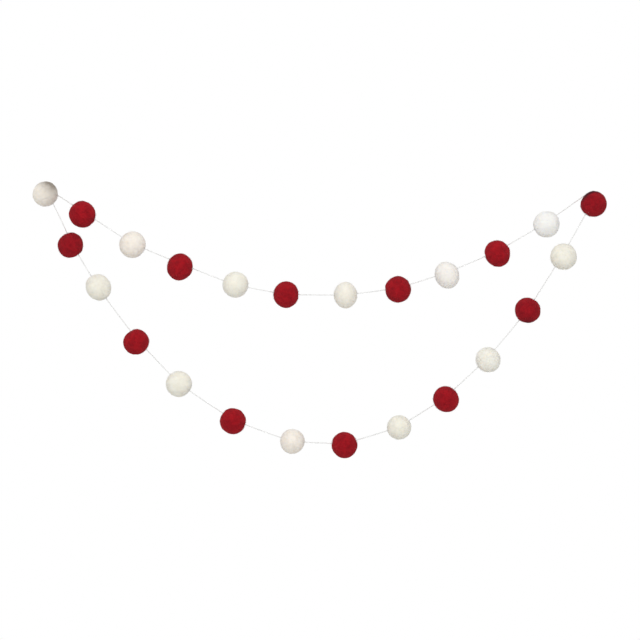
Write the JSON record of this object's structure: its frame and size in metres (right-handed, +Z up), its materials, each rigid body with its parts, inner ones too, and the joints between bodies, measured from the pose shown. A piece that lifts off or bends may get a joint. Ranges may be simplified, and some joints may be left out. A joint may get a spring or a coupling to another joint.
{
  "type": "felt ball garland",
  "caption": "Garland of hand-rolled wool felt balls, cream and red by turns, on a closed ring of cotton thread that hangs in two swags from two points.",
  "frame": {"origin": "left hanging point: the middle of the left turn, where the thread passes over its support", "axes": "+X to the right hanging point's side, +Y to the back, towards the wall, +Z up"},
  "size_m": [0.5502, 0.0293, 0.2654],
  "materials": {
    "cream_felt": "matte wool felt, undyed",
    "red_felt": "matte wool felt, dyed deep red",
    "cotton_thread": "twisted white cotton"
  },
  "bodies": {
    "root": {"ball_01_cream": "cream_felt", "ball_02_red": "red_felt", "ball_03_cream": "cream_felt", "ball_04_red": "red_felt", "ball_05_cream": "cream_felt", "ball_06_red": "red_felt", "ball_07_cream": "cream_felt", "ball_08_red": "red_felt", "ball_09_cream": "cream_felt", "ball_10_red": "red_felt", "ball_11_cream": "cream_felt", "ball_12_red": "red_felt", "ball_13_cream": "cream_felt", "ball_14_red": "red_felt", "ball_15_cream": "cream_felt", "ball_16_red": "red_felt", "ball_17_cream": "cream_felt", "ball_18_red": "red_felt", "ball_19_cream": "cream_felt", "ball_20_red": "red_felt", "ball_21_cream": "cream_felt", "ball_22_red": "red_felt", "ball_23_cream": "cream_felt", "ball_24_red": "red_felt", "thread": "cotton_thread"}
  },
  "joints": []
}
